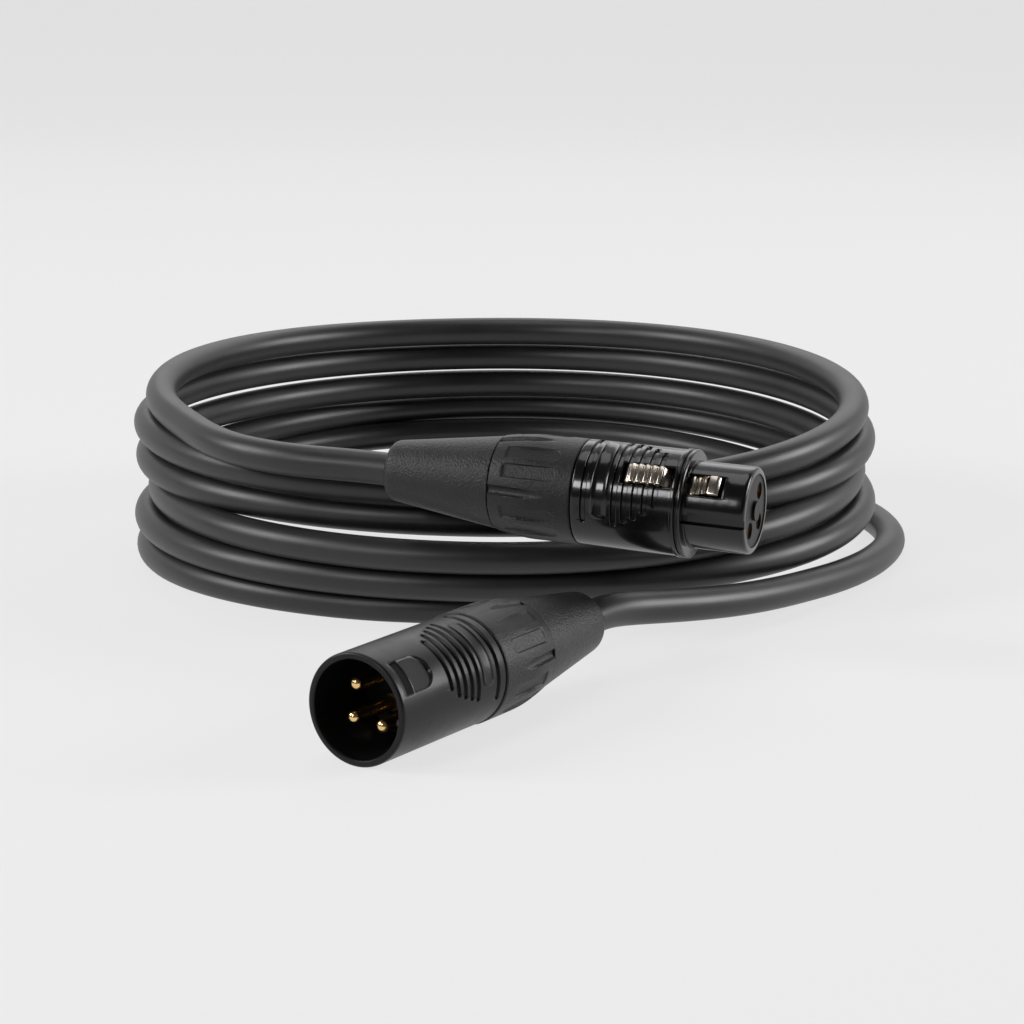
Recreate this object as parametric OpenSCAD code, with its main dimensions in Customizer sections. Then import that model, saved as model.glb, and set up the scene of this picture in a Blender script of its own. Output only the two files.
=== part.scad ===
// XLR microphone cable lying in a loose coil, with a female and a male three-pole connector.
// Both connectors are drawn along X: x = 0 is the cable end of the boot, Z points to the latch side.

/* [Cable] */
// Outside diameter of the jacket
cable_d = 6.2; // [5:0.1:6.6]
// Clearance all round between the jacket and the boot
boot_bore_gap = 0.3; // [0.2:0.05:0.6]
// Clearance all round between the jacket and the chuck that grips it
grip_gap = 0.05; // [0.02:0.01:0.1]
// Diameter of one insulated core, and of the twisted shield
core_d = 1.4; // [1:0.1:1.6]
// Radius at which the cores leave the jacket
core_ring_r = 1.3; // [1:0.1:1.6]

/* [Boot] */
// Length of the boot that shows
boot_len = 22; // [16:0.5:30]
// Diameter at the cable end
boot_tip_d = 11; // [10:0.25:13]
// Diameter at the seam with the ring nut
boot_seam_d = 17.2; // [16:0.2:18]
// Corner radius at the cable end
boot_round = 1.8; // [0.8:0.2:2]
// Diameter of the neck inside the ring nut
neck_d = 12.8; // [11:0.2:13.5]
// Length of the neck
neck_len = 4; // [2:0.25:5]

/* [Ring nut] */
// Length of the ring nut
nut_len = 16.1; // [14:0.1:20]
// Largest diameter
nut_d = 19.4; // [18.6:0.1:19.8]
// Diameter at the seam with the boot
nut_seam_d = 17.5; // [17:0.1:18.4]
// Length over which it swells to the largest diameter
nut_swell = 8; // [4:0.5:12]
// Depth from the seam to the inner web
nut_neck_depth = 5; // [4.5:0.25:6.5]
// Thickness of the inner web that pushes the chuck
nut_web = 1.5; // [1:0.1:2]
// Hole in the inner web
nut_web_hole_d = 10; // [8:0.5:11]
// Running clearance all round on the neck and on the thread
thread_gap = 0.05; // [0.03:0.01:0.1]
// Seam between the ring nut and its neighbours
nut_seam_gap = 0.1; // [0.05:0.05:0.3]
// Long wedges cut round the nut
wedge_count = 5; // [3:1:6]
// Length of a wedge
wedge_len = 11; // [8:0.5:12]
// Width of a wedge
wedge_w = 1.8; // [1:0.2:2.4]
// Depth of a wedge at the seam
wedge_depth = 0.6; // [0.4:0.1:1]
// Length of a sunk grip pad
pad_len = 9.5; // [6:0.5:10]
// Width of a sunk grip pad
pad_w = 2.6; // [1.6:0.2:3]
// Depth of a sunk grip pad
pad_depth = 0.3; // [0.1:0.05:0.5]
// Distance of the pads' round end from the shell
pad_inset = 3.1; // [2:0.1:4]
// Angle of a pad from the middle between two wedges
pad_angle = 11.75; // [9:0.25:14]

/* [Cable chuck] */
// Clearance all round in the spigot
chuck_gap = 0.25; // [0.1:0.05:0.6]
// Length
chuck_len = 8.4; // [6:0.2:9]
// Width of the slits
slit_w = 1.2; // [0.6:0.1:1.6]
// Length of the slits
slit_len = 5.4; // [3:0.2:5.6]
// Distance that the jacket stands out in front of the chuck
jacket_out = 0.2; // [0.1:0.1:1]

/* [Shells] */
// Diameter of the threaded spigot inside the ring nut
spigot_d = 15; // [14.6:0.1:15.6]
// Length of the spigot
spigot_len = 8; // [5:0.5:9]
// Wall of the spigot round the chuck
spigot_wall = 0.8; // [0.6:0.05:1]
// Bore of both shells in front of the spigot
bore_d = 13.5; // [13.3:0.05:13.8]
// Width of a decorative groove
groove_w = 0.9; // [0.5:0.1:1.2]
// Depth of a decorative groove
groove_depth = 0.45; // [0.2:0.05:0.6]
// Step from one groove to the next
groove_step = 1.9; // [1.5:0.05:1.95]
// First of the row of grooves, from the rear of the shell
groove_start = 8.2; // [8:0.1:8.6]
// Single groove behind the label pad, from the rear of the shell
rear_groove_at = 2.4; // [2:0.1:2.6]
// Half the angle that the rear groove covers
rear_groove_half = 60; // [50:1:62]
// Rear edge of the bare label pad, from the rear of the shell
label_at = 3.9; // [3.8:0.1:4.2]
// Width of the bare label pad
label_w = 3; // [2:0.1:3.2]
// Height of the bare label pad
label_h = 0.15; // [0.1:0.05:0.25]

/* [Female shell] */
// Diameter of the body
f_body_d = 19.4; // [18.8:0.1:19.6]
// Length of the body
f_body_len = 18.7; // [18.4:0.1:20]
// Diameter of the collar's lips
collar_d = 19.8; // [19.4:0.1:20.2]
// Length of the collar
collar_len = 2; // [1.6:0.1:2.4]
// Diameter of the nose that enters the socket
nose_d = 15.9; // [15.7:0.05:16]
// Length of the nose
nose_len = 11.3; // [11:0.1:12.5]
// Chamfer on the nose
nose_chamfer = 0.6; // [0.3:0.1:0.8]
// Width of the slot and window for the latch
slot_w = 4.2; // [4:0.1:4.8]
// Start of the thumb slot, from the rear of the shell
slot_at = 9; // [8.8:0.1:9.2]
// Length of the latch window in the nose
window_len = 6.8; // [6.6:0.1:7.5]
// Height of the tunnel that joins slot and window under the collar
tunnel_z = 8.2; // [7.9:0.1:8.6]
// Width of the key groove
key_groove_w = 1.6; // [1.4:0.1:2]
// Depth of the key groove
key_groove_depth = 0.85; // [0.8:0.05:1]
// Angle between the latch and the key
key_angle = 48; // [45:1:52]

/* [Male shell] */
// Diameter of the shell
m_body_d = 19; // [18.8:0.1:19.2]
// Length of the shell from the ring nut to the rim
m_body_len = 29.5; // [29:0.1:31]
// Diameter of the cavity round the pins
cavity_d = 16.6; // [16.4:0.1:16.8]
// Depth of the cavity
cavity_len = 17; // [16.4:0.1:18]
// Rounding of the rim
rim_round = 0.5; // [0.2:0.1:0.6]
// Distance from the rim to the catch window
catch_at = 2.1; // [1.8:0.1:2.6]
// Width of the catch window along the shell
catch_len = 1.5; // [1.3:0.1:1.8]
// Width of the catch window across the shell
catch_w = 6; // [5:0.5:7]
// Distance from the rim to the sunk D behind the catch window
dee_at = 4.2; // [4.1:0.1:4.6]
// Straight length of the sunk D
dee_len = 2.9; // [2:0.1:3.5]
// Depth of the sunk D
dee_depth = 0.6; // [0.3:0.05:0.7]
// Width of the key rib
key_rib_w = 1.2; // [1:0.1:1.3]
// Height of the key rib
key_rib_h = 1; // [0.8:0.05:1]
// Distance from the rim to the key rib
key_rib_at = 1; // [0.8:0.1:2]

/* [Contacts] */
// Diameter of the pins
pin_d = 2.4; // [2.3:0.05:2.5]
// Diameter of the circle that the contacts stand on
pin_circle_d = 8.2; // [8:0.1:8.3]
// Distance from the rim to the pins' tips
pin_inset = 3; // [2.5:0.1:4]
// Length of a pin's root inside the insert
pin_rooted = 7; // [6.5:0.1:7.2]
// Diameter of the root
pin_root_d = 3; // [2.8:0.1:3.2]
// Bore of the sockets
socket_d = 2.5; // [2.45:0.05:2.6]
// Outside diameter of the sockets
socket_od = 3.5; // [3.3:0.1:3.6]
// Depth of the socket bore
socket_depth = 11.2; // [10.5:0.1:12]
// Length of the solid part behind the socket bore
socket_root = 6; // [4:0.5:6.5]
// Outside diameter of the solder cups
cup_od = 2.6; // [2.4:0.1:2.8]
// Bore of the solder cups
cup_d = 1.9; // [1.7:0.1:2]
// Length of the solder cups
cup_len = 5; // [4:0.25:6]
// Depth of the bore in a solder cup
cup_depth = 3; // [2:0.25:3.5]
// Clearance all round a contact in its insert
seat_gap = 0.05; // [0.02:0.01:0.1]

/* [Inserts] */
// Clearance all round an insert in its shell
insert_gap = 0.1; // [0.05:0.05:0.2]
// Length of the female insert
f_insert_len = 24; // [23.4:0.1:25]
// Distance from the end of the nose back to the insert's face
face_back = 0.2; // [0.1:0.1:0.6]
// Height of the boss in the middle of the face
boss_h = 0.5; // [0.3:0.1:1]
// Diameter of the boss
boss_d = 3.6; // [3:0.1:4]
// Width of the latch channel
channel_w = 4.6; // [4.2:0.1:4.8]
// Height of the channel's floor over the axis
channel_z = 2.7; // [2.6:0.1:3]
// Wall left between the channel and the insert's face
channel_wall = 3.6; // [3:0.1:4]
// Thickness of the front wall over the sockets
front_wall = 0.8; // [0.5:0.1:1.2]
// Diameter of the openings for the pins
mouth_d = 3.1; // [3:0.1:3.3]
// Distance from the insert's face back to the rim of a socket
rim_back = 0.4; // [0.2:0.1:0.4]
// Length of the male insert behind its flange
m_insert_len = 4.8; // [4:0.2:6]
// Thickness of the male insert's flange
flange_t = 2.5; // [2:0.1:3]
// Width of the ground strips
strip_w = 2; // [1.6:0.2:2.4]
// Thickness of the ground strips
strip_t = 0.4; // [0.3:0.05:0.5]
// Length of the female ground strip
f_strip_len = 14; // [8:1:16]
// Length of the male ground strip
m_strip_len = 3.6; // [3:0.2:4]
// Clearance over and under a ground strip
strip_gap = 0.06; // [0.03:0.01:0.1]

/* [Latch] */
// Width of the lever
lever_w = 3.6; // [3:0.1:3.8]
// Thickness of the lever's arm
lever_t = 1.2; // [0.8:0.1:1.3]
// Clearance from the rear of the thumb slot to the tab
tab_gap = 0.6; // [0.5:0.1:1]
// Length of the thumb tab
tab_len = 8.4; // [7.6:0.1:8.6]
// Height of the thumb tab over the axis
tab_z = 10.2; // [9.8:0.1:10.6]
// Ridges on the thumb tab
tab_ridges = 5; // [3:1:6]
// Distance from the pivot forward to the tab
pivot_back = 0.6; // [0.4:0.1:0.8]
// Height of the pivot over the axis
pivot_z = 4.8; // [4.7:0.1:4.9]
// Diameter of the pivot pegs
pivot_d = 1.6; // [1.2:0.1:1.8]
// Distance between the ends of the two pegs
pivot_w = 6; // [5.4:0.1:6.4]
// Running clearance all round a peg
pivot_gap = 0.05; // [0.03:0.01:0.1]
// Clearance from the front of the window to the hook
hook_gap = 0.6; // [0.5:0.1:0.8]
// Length of the hook's tooth
tooth_len = 2; // [1.4:0.1:2.2]
// Height of the tooth over the axis
tooth_z = 8.6; // [8.4:0.1:8.8]
// Height of the ridged pad behind the tooth
hook_pad_z = 7.5; // [7:0.1:7.6]
// Length of the ridged pad behind the tooth
hook_pad_len = 3.1; // [2.4:0.1:3.2]
// Notch between the pad and the tooth
hook_notch = 0.7; // [0.4:0.1:0.9]
// Diameter of the lever's spring
spring_d = 2.8; // [2.4:0.1:3]
// Diameter of the spring's wire
spring_wire_d = 0.35; // [0.3:0.01:0.38]
// Curls of the spring
spring_curls = 5; // [4:1:5]
// Distance from the pivot forward to the spring
spring_ahead = 5.5; // [5:0.25:6]
// Depth of the spring's seat under the axis
spring_seat_z = 0.5; // [0.4:0.1:0.7]
// Free play between the spring and the lever
spring_play = 0.4; // [0.35:0.05:0.5]
// Clearance all round the spring in its well
spring_well_gap = 0.2; // [0.1:0.05:0.3]

/* [Lay of the cable] */
// Cable end of the female boot, from the middle of the coil
female_at = [-21.2, -71.2, 30.9];
// Heading of the female connector
female_turn = -20; // [-21:0.5:-19]
// Droop of its nose
female_droop = 2.2; // [1.5:0.1:3]
// Roll of the latch away from the top
female_roll = 51; // [-180:1:180]
// Cable end of the male boot, from the middle of the coil
male_at = [13.5, -103.4, 9.9];
// Heading of the male connector
male_turn = -123.4; // [-124:0.2:-122]
// Droop of its rim
male_droop = 0.3; // [0:0.1:0.5]
// Roll of the latch side away from the top
male_roll = -51; // [-180:1:180]
// Middle of the coil, from the middle of the whole part
coil_at = [-2.9, 36.9, 0];

/* [Hidden] */
$fn = 64;

// The winding, one value for each turn: heights and radii where the turns pass the front, the
// back, the left and the right.
front_z = [30.2, 25.3, 19.3, 14.2, 8.2, 2.5];
back_z = [33.7, 27.4, 20.7, 14.4, 9.2, 2.5];
front_r = [78.75, 66, 62.75, 72.5, 69.5, 66];
back_r = [79.75, 82.5, 83.75, 88, 83.5, 78];
left_r = [71.5, 74.25, 74, 71.5, 74.5, 74.25];
right_r = [72.25, 73.75, 71.75, 74, 70, 73];
// Rise of the turns at the sides, as a share of their height
side_rise = 0.086;
// The lowest turn climbs over the free end: turn, half width in turns, rise and draw-in
climb_at = 4.86;
climb_half = 0.2;
climb_z = 3.4;
climb_in = 6;
// Rings for each loop, the ring where the winding leaves the connector's axis, the last ring
loop_rings = 24;
first_ring = 1;
last_ring = 131;
// Length over which the cable bends from the connector's axis into the winding, in turns
blend_turns = 0.12;
mean_r = 74;
// Straight run of the cable out of each boot
straight_out = 6;
// Height of the cable's middle where it lies on the floor, squeezed flat by a tenth
rest_z = 2.5;
// Free end, from the back of the coil round the right to the male boot
tail_points = [[0, 78, rest_z], [6, 78, rest_z], [15, 77.2, rest_z], [26, 75, rest_z],
               [37, 71, rest_z], [47.5, 65, rest_z], [57.5, 57, rest_z], [66, 47, rest_z],
               [73, 35, rest_z], [78, 22, rest_z], [80.5, 9, rest_z], [80.5, -4, rest_z],
               [77.5, -17, 2.7], [72.5, -29.5, 3], [66, -41, 3.4], [58.5, -52, 4.1],
               [49.5, -64, 5.1], [39, -75.5, 6.5], [30, -84, 7.9], [23, -90.5, 9.1]];
coil_sides = 6;
tail_sides = 8;

// Stations along a connector
cable_r = cable_d / 2;
nut_x0 = boot_len + nut_seam_gap;
nut_x1 = nut_x0 + nut_len;
shell_x0 = nut_x1 + nut_seam_gap;
web_x0 = nut_x0 + nut_neck_depth;
web_x1 = web_x0 + nut_web;
chuck_x0 = web_x1 + nut_seam_gap;
chuck_x1 = chuck_x0 + chuck_len;
jacket_x1 = chuck_x1 + jacket_out;
thread_r = spigot_d / 2 + thread_gap;
spigot_bore_r = spigot_d / 2 - spigot_wall;
chuck_r = spigot_bore_r - chuck_gap;
bore_r = bore_d / 2;
insert_r = bore_r - insert_gap;
contact_r = pin_circle_d / 2;
// Female stations
collar_x0 = shell_x0 + f_body_len;
collar_x1 = collar_x0 + collar_len;
nose_x1 = collar_x1 + nose_len;
face_x = nose_x1 - face_back;
f_insert_x0 = face_x - f_insert_len;
socket_x1 = face_x - front_wall;
socket_rim_x = face_x - rim_back;
socket_x0 = socket_x1 - socket_depth - socket_root;
f_cup_x0 = socket_x0 - cup_len;
slot_x0 = shell_x0 + slot_at;
window_x1 = collar_x1 + window_len;
channel_x1 = face_x - channel_wall;
// Male stations
rim_x = shell_x0 + m_body_len;
floor_x = rim_x - cavity_len;
m_face_x = floor_x + insert_gap + flange_t;
m_insert_x0 = floor_x + insert_gap - m_insert_len;
pin_x0 = m_face_x - pin_rooted;
pin_x1 = rim_x - pin_inset;
m_cup_x0 = pin_x0 - cup_depth;
// Latch stations
tab_x0 = slot_x0 + tab_gap;
tab_x1 = tab_x0 + tab_len;
pivot_x = tab_x0 + pivot_back;
arm_z0 = pivot_z - lever_t / 2;
arm_z1 = pivot_z + lever_t / 2;
hook_x1 = window_x1 - hook_gap;
tooth_x0 = hook_x1 - tooth_len;
hook_pad_x1 = tooth_x0 - hook_notch;
hook_pad_x0 = hook_pad_x1 - hook_pad_len;
spring_x = pivot_x + spring_ahead;
spring_top_z = arm_z0 - spring_play;
strip_z = strip_t - sqrt(pow(bore_r - insert_gap / 2, 2) - pow(strip_w / 2, 2));
// Half-angles of the five grooves on each shell
f_groove_halves = [61, 56, 51, 44, 35];
m_groove_halves = [52.5, 49, 44.5, 39.5, 30.5];

black = [0.1, 0.1, 0.1];
jacket_grey = [0.2, 0.2, 0.21];
lacquer_black = [0.07, 0.07, 0.08];
nickel = [0.72, 0.7, 0.66];
gold = [0.83, 0.66, 0.32];

// A point on a connector's axis, x from the cable end of its boot
function heading(turn, droop) =
  [cos(turn) * cos(droop), sin(turn) * cos(droop), -sin(droop)];
function on_female(x) = female_at + x * heading(female_turn, female_droop);
function on_male(x) = male_at + x * heading(male_turn, male_droop);

// A point of the winding, t in turns, clockwise from the front
function climb(t) = pow(cos(90 * max(-1, min(1, (t - climb_at) / climb_half))), 2);
function wound(t) =
  let (a = 360 * t,
       w = (1 + cos(a)) / 2,
       k = min(5, floor(t + 0.001)),
       f = min(5, floor(t + 0.501)),
       side_r = sin(a) > 0 ? left_r[k] : right_r[k],
       c = climb(t))
  [-(side_r - climb_in * c) * sin(a),
   -(front_r[f] * w + back_r[k] * (1 - w) - climb_in * c) * cos(a),
   (front_z[f] * w + back_z[k] * (1 - w)) * (1 + side_rise * pow(sin(a), 2)) + climb_z * c];
function laid(k) =
  let (t = k / loop_rings,
       run = (t - first_ring / loop_rings),
       u = max(0, min(1, run / blend_turns)),
       m = u * u * (3 - 2 * u))
  on_female(-run * 360 * mean_r * PI / 180) * (1 - m) + wound(t) * m;

coil_points = concat([on_female(jacket_x1), on_female(0), on_female(-straight_out)],
                     [for (k = [first_ring + 1 : last_ring]) laid(k)],
                     [tail_points[0] - [straight_out, 0, 0], tail_points[0]]);
tail_route = concat(tail_points, [on_male(-straight_out - 2), on_male(0), on_male(jacket_x1)]);

// Least gap of the tube to itself, measured between its rings and the middles between them
function halves(p) = [for (i = [0 : 2 * (len(p) - 1)])
                      i % 2 == 0 ? p[i / 2] : (p[(i - 1) / 2] + p[(i + 1) / 2]) / 2];
coil_halves = halves([for (k = [first_ring : last_ring]) laid(k)]);
tail_halves = halves(tail_route);
coil_gap = min([for (i = [0 : len(coil_halves) - 1])
                for (j = [i + 1.2 * loop_rings : 1 : len(coil_halves) - 1])
                norm(coil_halves[i] - coil_halves[floor(j)])]) - cable_d;
tail_gap = min([for (p = tail_halves)
                for (i = [0 : len(coil_halves) - 1 - loop_rings])
                norm(p - coil_halves[i])]) - cable_d;
echo(coil_least_gap_mm = coil_gap, tail_least_gap_mm = tail_gap);

function unit(v) = v / norm(v);
function along(p, i) = unit(p[min(i + 1, len(p) - 1)] - p[max(i - 1, 0)]);
function ring(p, dir, r, sides, floor_z) =
  let (side = unit(cross(dir, [0, 0, 1])), up = cross(side, dir))
  [for (j = [0 : sides - 1])
     let (a = 360 * (j + (sides == 8 ? 0.5 : 0)) / sides, q = p + r * (cos(a) * side + sin(a) * up))
     [q.x, q.y, max(floor_z, q.z)]];

// A tube along the points, with triangles only
module tube(p, r, sides, floor_z = -1000) {
  n = len(p);
  rings = [for (i = [0 : n - 1]) each ring(p[i], along(p, i), r, sides, floor_z)];
  skin = [for (i = [0 : n - 2]) for (j = [0 : sides - 1])
            let (a = i * sides + j, b = i * sides + (j + 1) % sides)
            each [[a, b, b + sides], [a, b + sides, a + sides]]];
  near = [for (j = [1 : sides - 2]) [0, j + 1, j]];
  far = [for (j = [1 : sides - 2]) let (s = (n - 1) * sides) [s, s + j, s + j + 1]];
  polyhedron(rings, concat(skin, near, far));
}

// A solid of revolution about X from points [x, r]
module turned(points) {
  rotate([0, 90, 0]) rotate_extrude() polygon([for (p = points) [p[1], p[0]]]);
}

// A band about X, centred on the latch side
module band(x0, x1, r0, r1, half) {
  translate([x0, 0, 0]) rotate([0, 90, 0]) rotate([0, 0, 180 - half])
    rotate_extrude(angle = 2 * half) translate([r0, 0]) square([r1 - r0, x1 - x0]);
}

// A cylinder along X
module bar(x0, x1, r) {
  translate([x0, 0, 0]) rotate([0, 90, 0]) cylinder(h = x1 - x0, r = r);
}

module place_female() {
  translate(coil_at + female_at) rotate([0, female_droop, female_turn]) rotate([female_roll, 0, 0])
    children();
}

module place_male() {
  translate(coil_at + male_at) rotate([0, male_droop, male_turn]) rotate([male_roll, 0, 0])
    children();
}

// Cable
module cable_coil() {
  color(jacket_grey) translate(coil_at) tube(coil_points, cable_r, coil_sides, 0);
}

module cable_tail() {
  color(jacket_grey) translate(coil_at) tube(tail_route, cable_r, tail_sides, 0);
}

// Rubber boot with its neck
module boot() {
  hole_r = cable_r + boot_bore_gap;
  tip_r = boot_tip_d / 2;
  turned(concat(
    [[0, hole_r], [0, tip_r - boot_round]],
    [for (a = [15 : 15 : 90])
       [boot_round * (1 - cos(a)), tip_r - boot_round * (1 - sin(a))]],
    [[boot_len, boot_seam_d / 2], [boot_len, neck_d / 2],
     [boot_len + neck_len, neck_d / 2], [boot_len + neck_len, hole_r]]));
}

// Ring nut with its wedges and sunk grip pads
module nut() {
  seam_r = nut_seam_d / 2;
  swell_r = nut_d / 2 - seam_r;
  edge = 0.3;
  pad_x1 = nut_x1 - pad_inset - pad_w / 2;
  pad_tilt = atan(swell_r / 2 / pad_len);
  difference() {
    turned(concat(
      [[nut_x0, neck_d / 2 + thread_gap], [nut_x0, seam_r]],
      [for (a = [15 : 15 : 90]) [nut_x0 + nut_swell * a / 90, seam_r + swell_r * sin(a)]],
      [[nut_x1 - edge, nut_d / 2], [nut_x1, nut_d / 2 - edge], [nut_x1, thread_r],
       [web_x1, thread_r], [web_x1, nut_web_hole_d / 2], [web_x0, nut_web_hole_d / 2],
       [web_x0, neck_d / 2 + thread_gap]]));
    for (i = [0 : wedge_count - 1]) rotate([360 * (i + 0.5) / wedge_count, 0, 0])
      translate([nut_x0 - 1, 0, seam_r + wedge_w / 2 - wedge_depth - swell_r / wedge_len])
        rotate([0, -atan((swell_r + wedge_depth) / wedge_len), 0])
          bar(0, wedge_len + 2, wedge_w / 2);
    for (i = [0 : wedge_count - 1]) for (s = [-1, 1])
      rotate([360 * i / wedge_count + s * pad_angle, 0, 0])
        translate([pad_x1, 0, nut_d / 2 - pad_depth]) rotate([0, -pad_tilt, 0]) {
          cylinder(h = 2, d = pad_w);
          translate([-pad_len, -pad_w / 2, 0]) cube([pad_len, pad_w, 2]);
        }
  }
}

// Split chuck that grips the jacket
module chuck() {
  lead_in = 1;
  difference() {
    turned([[chuck_x0, cable_r + grip_gap], [chuck_x0, chuck_r - lead_in],
            [chuck_x0 + lead_in, chuck_r], [chuck_x1, chuck_r],
            [chuck_x1, cable_r + grip_gap]]);
    for (a = [45 : 90 : 315]) rotate([a, 0, 0])
      translate([chuck_x0 - 1, -slit_w / 2, 0]) cube([slit_len + 1, slit_w, chuck_r + 1]);
  }
}

// The grooves and the bare label pad that both shells share
module shell_grooves(body_r, groove_halves) {
  x = shell_x0 + rear_groove_at;
  band(x - groove_w / 2, x + groove_w / 2, body_r - groove_depth, body_r + 1, rear_groove_half);
  for (i = [0 : len(groove_halves) - 1])
    let (g = shell_x0 + groove_start + i * groove_step)
      band(g - groove_w / 2, g + groove_w / 2, body_r - groove_depth, body_r + 1,
           groove_halves[i]);
}

module label_pad(body_r, half) {
  x = shell_x0 + label_at;
  band(x, x + label_w, body_r - 0.5, body_r + label_h, half);
}

// Female connector
module female_shell() {
  body_r = f_body_d / 2;
  nose_r = nose_d / 2;
  lip_r = collar_d / 2;
  spigot_x0 = shell_x0 - spigot_len;
  edge = 0.3;
  color(lacquer_black) place_female() difference() {
    union() {
      turned([[spigot_x0, 0], [spigot_x0, spigot_d / 2 - edge], [spigot_x0 + edge, spigot_d / 2],
              [shell_x0, spigot_d / 2], [shell_x0, body_r - edge], [shell_x0 + edge, body_r],
              [collar_x0, body_r], [collar_x0, lip_r], [collar_x0 + collar_len * 0.35, lip_r],
              [collar_x0 + collar_len * 0.45, body_r - edge],
              [collar_x0 + collar_len * 0.55, body_r - edge],
              [collar_x0 + collar_len * 0.65, lip_r], [collar_x1 - edge, lip_r],
              [collar_x1, lip_r - edge], [collar_x1, nose_r],
              [nose_x1 - nose_chamfer, nose_r], [nose_x1, nose_r - nose_chamfer], [nose_x1, 0]]);
      label_pad(body_r, 54);
    }
    bar(spigot_x0 - 1, shell_x0 + 1, spigot_bore_r);
    bar(shell_x0, nose_x1 + 1, bore_r);
    shell_grooves(body_r, f_groove_halves);
    translate([slot_x0, -slot_w / 2, 0]) cube([collar_x0 - slot_x0, slot_w, lip_r + 1]);
    translate([collar_x0 - 1, -slot_w / 2, 0]) cube([collar_len + 2, slot_w, tunnel_z]);
    translate([collar_x1, -slot_w / 2, 0]) cube([window_len, slot_w, nose_r + 1]);
    rotate([key_angle, 0, 0]) translate([collar_x1, -key_groove_w / 2, nose_r - key_groove_depth])
      cube([nose_len + 1, key_groove_w, 2]);
  }
}

module socket_seat(y, z) {
  translate([0, y, z]) {
    bar(f_insert_x0 - 1, socket_x1 + seat_gap, socket_od / 2 + seat_gap);
    bar(socket_x1, face_x + 1, mouth_d / 2);
  }
}

module female_insert() {
  well_r = spring_d / 2 + spring_well_gap;
  color(black) place_female() difference() {
    union() {
      bar(f_insert_x0, face_x, insert_r);
      bar(face_x - 1, face_x + boss_h, boss_d / 2);
    }
    translate([f_insert_x0 - 1, -channel_w / 2, channel_z])
      cube([channel_x1 - f_insert_x0 + 1, channel_w, insert_r]);
    socket_seat(-contact_r, 0);
    socket_seat(contact_r, 0);
    socket_seat(0, -contact_r);
    translate([pivot_x, 0, pivot_z]) rotate([90, 0, 0])
      cylinder(h = pivot_w + 4 * pivot_gap, r = pivot_d / 2 + pivot_gap, center = true);
    translate([spring_x, 0, -spring_seat_z]) cylinder(h = channel_z + 2, r = well_r);
    translate([face_x - front_wall - 2 - f_strip_len, -strip_w / 2 - strip_gap,
               strip_z - strip_gap - 3 - strip_t])
      cube([f_strip_len, strip_w + 2 * strip_gap, 3 + strip_t + 2 * strip_gap]);
  }
}

module socket_contact(y, z) {
  color(gold) place_female() translate([0, y, z]) difference() {
    union() {
      bar(socket_x0, socket_x1, socket_od / 2);
      bar(socket_x1 - 1, socket_rim_x, mouth_d / 2 - seat_gap);
      bar(f_cup_x0, socket_x0 + 0.5, cup_od / 2);
    }
    bar(socket_rim_x - socket_depth, socket_rim_x + 1, socket_d / 2);
    bar(f_cup_x0 - 1, f_cup_x0 + cup_depth, cup_d / 2);
  }
}

module female_contact_1() { socket_contact(-contact_r, 0); }
module female_contact_2() { socket_contact(contact_r, 0); }
module female_contact_3() { socket_contact(0, -contact_r); }

// The lever: thumb tab in the slot, arm under the collar, ridged pad and tooth in the window
module latch_lever() {
  tail_x = pivot_x - 1.5;
  ridge = 0.35;
  tab_front = 1.4;
  step = (tab_len - tab_front - 0.5) / tab_ridges;
  hook_step = hook_pad_len / 3;
  outline = concat(
    [[tail_x, arm_z0], [hook_x1, arm_z0], [hook_x1, tooth_z - 0.5], [hook_x1 - 0.5, tooth_z],
     [tooth_x0, tooth_z], [tooth_x0, arm_z1 + 1], [hook_pad_x1, arm_z1 + 1]],
    [for (i = [2 : -1 : 0]) let (x = hook_pad_x0 + i * hook_step)
       each [[x + hook_step, hook_pad_z], [x + 0.4 * hook_step, hook_pad_z],
             [x + 0.3 * hook_step, hook_pad_z - ridge], [x, hook_pad_z - ridge]]],
    [[hook_pad_x0, arm_z1], [tab_x1, arm_z1], [tab_x1, tab_z - 1.8],
     [tab_x1 - tab_front, tab_z - 0.4]],
    [for (i = [tab_ridges - 1 : -1 : 0]) let (x = tab_x0 + 0.5 + i * step)
       each [[x + step, tab_z], [x + 0.4 * step, tab_z],
             [x + 0.3 * step, tab_z - ridge], [x, tab_z - ridge]]],
    [[tab_x0, tab_z - 0.8], [tab_x0, arm_z1], [tail_x, arm_z1]]);
  color(nickel) place_female() {
    rotate([90, 0, 0]) translate([0, 0, -lever_w / 2]) linear_extrude(lever_w) polygon(outline);
    translate([pivot_x, 0, pivot_z]) rotate([90, 0, 0])
      cylinder(h = pivot_w, d = pivot_d, center = true);
  }
}

// Coil spring that pushes the lever out
module latch_spring() {
  r = (spring_d - spring_wire_d) / 2;
  z0 = -spring_seat_z + spring_wire_d / 2;
  rise = spring_top_z - spring_wire_d / 2 - z0;
  points = [for (i = [0 : spring_curls * 8])
              let (a = i * 45)
              [spring_x + r * cos(a), r * sin(a), z0 + rise * i / (spring_curls * 8)]];
  echo(spring_least_gap_mm = rise / spring_curls - spring_wire_d);
  color(nickel) place_female() tube(points, spring_wire_d / 2, 6);
}

// A lead from the end of the jacket, fanned out to a solder cup
module core_lead(y, z, x_bend, x_end) {
  start_r = core_ring_r / contact_r;
  x0 = jacket_x1 + core_d / 2;
  tube([[jacket_x1, y * start_r, z * start_r], [x0, y * start_r, z * start_r],
        [x_bend - core_d / 2, y, z], [x_bend + core_d / 2, y, z], [x_end, y, z]],
       core_d / 2, tail_sides);
}

module female_core_leads() {
  x_end = f_cup_x0 + cup_depth - seat_gap;
  color("firebrick") place_female() core_lead(contact_r, 0, f_insert_x0 - 1, x_end);
  color("ivory") place_female() core_lead(0, -contact_r, f_insert_x0 - 1, x_end);
}

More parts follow.
